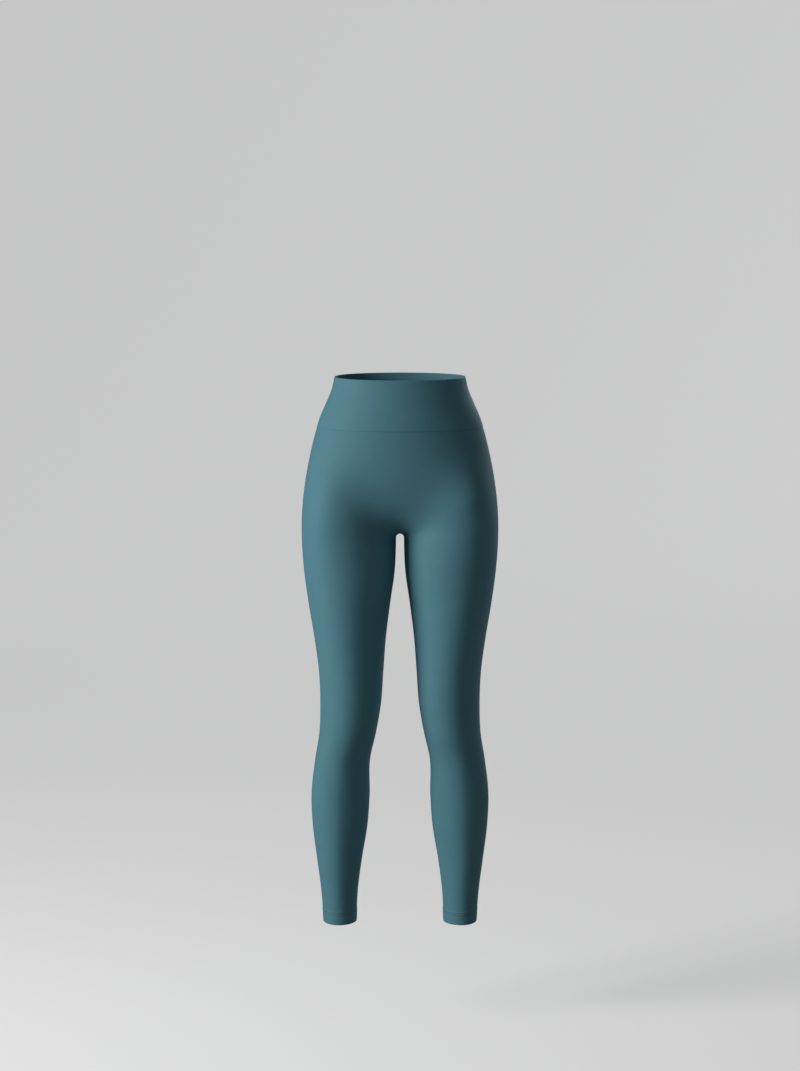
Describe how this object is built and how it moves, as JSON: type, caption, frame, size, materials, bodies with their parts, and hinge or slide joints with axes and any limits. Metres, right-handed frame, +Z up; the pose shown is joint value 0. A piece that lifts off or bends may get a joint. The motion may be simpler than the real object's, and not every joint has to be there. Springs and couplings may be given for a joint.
{
  "type": "leggings",
  "caption": "High-waisted seven-eighths leggings in their hollow worn form, with a wide double waistband, a seamless front and turned-up hems.",
  "frame": {"origin": "centre of the waist opening, level with the folded top edge of the waistband", "axes": "+Z up through the waist opening, -Y to the front, +X to the wearer's left"},
  "size_m": [0.3452, 0.2317, 0.9748],
  "materials": {
    "body_knit": "fine smooth knit in muted teal, matt with a soft sheen",
    "waistband_knit": "the same knit, two layers thick, matt with a soft sheen"
  },
  "bodies": {
    "root": {"waistband_front": "waistband_knit", "waistband_back": "waistband_knit", "front_panel": "body_knit", "back_right": "body_knit", "back_left": "body_knit"}
  },
  "joints": []
}
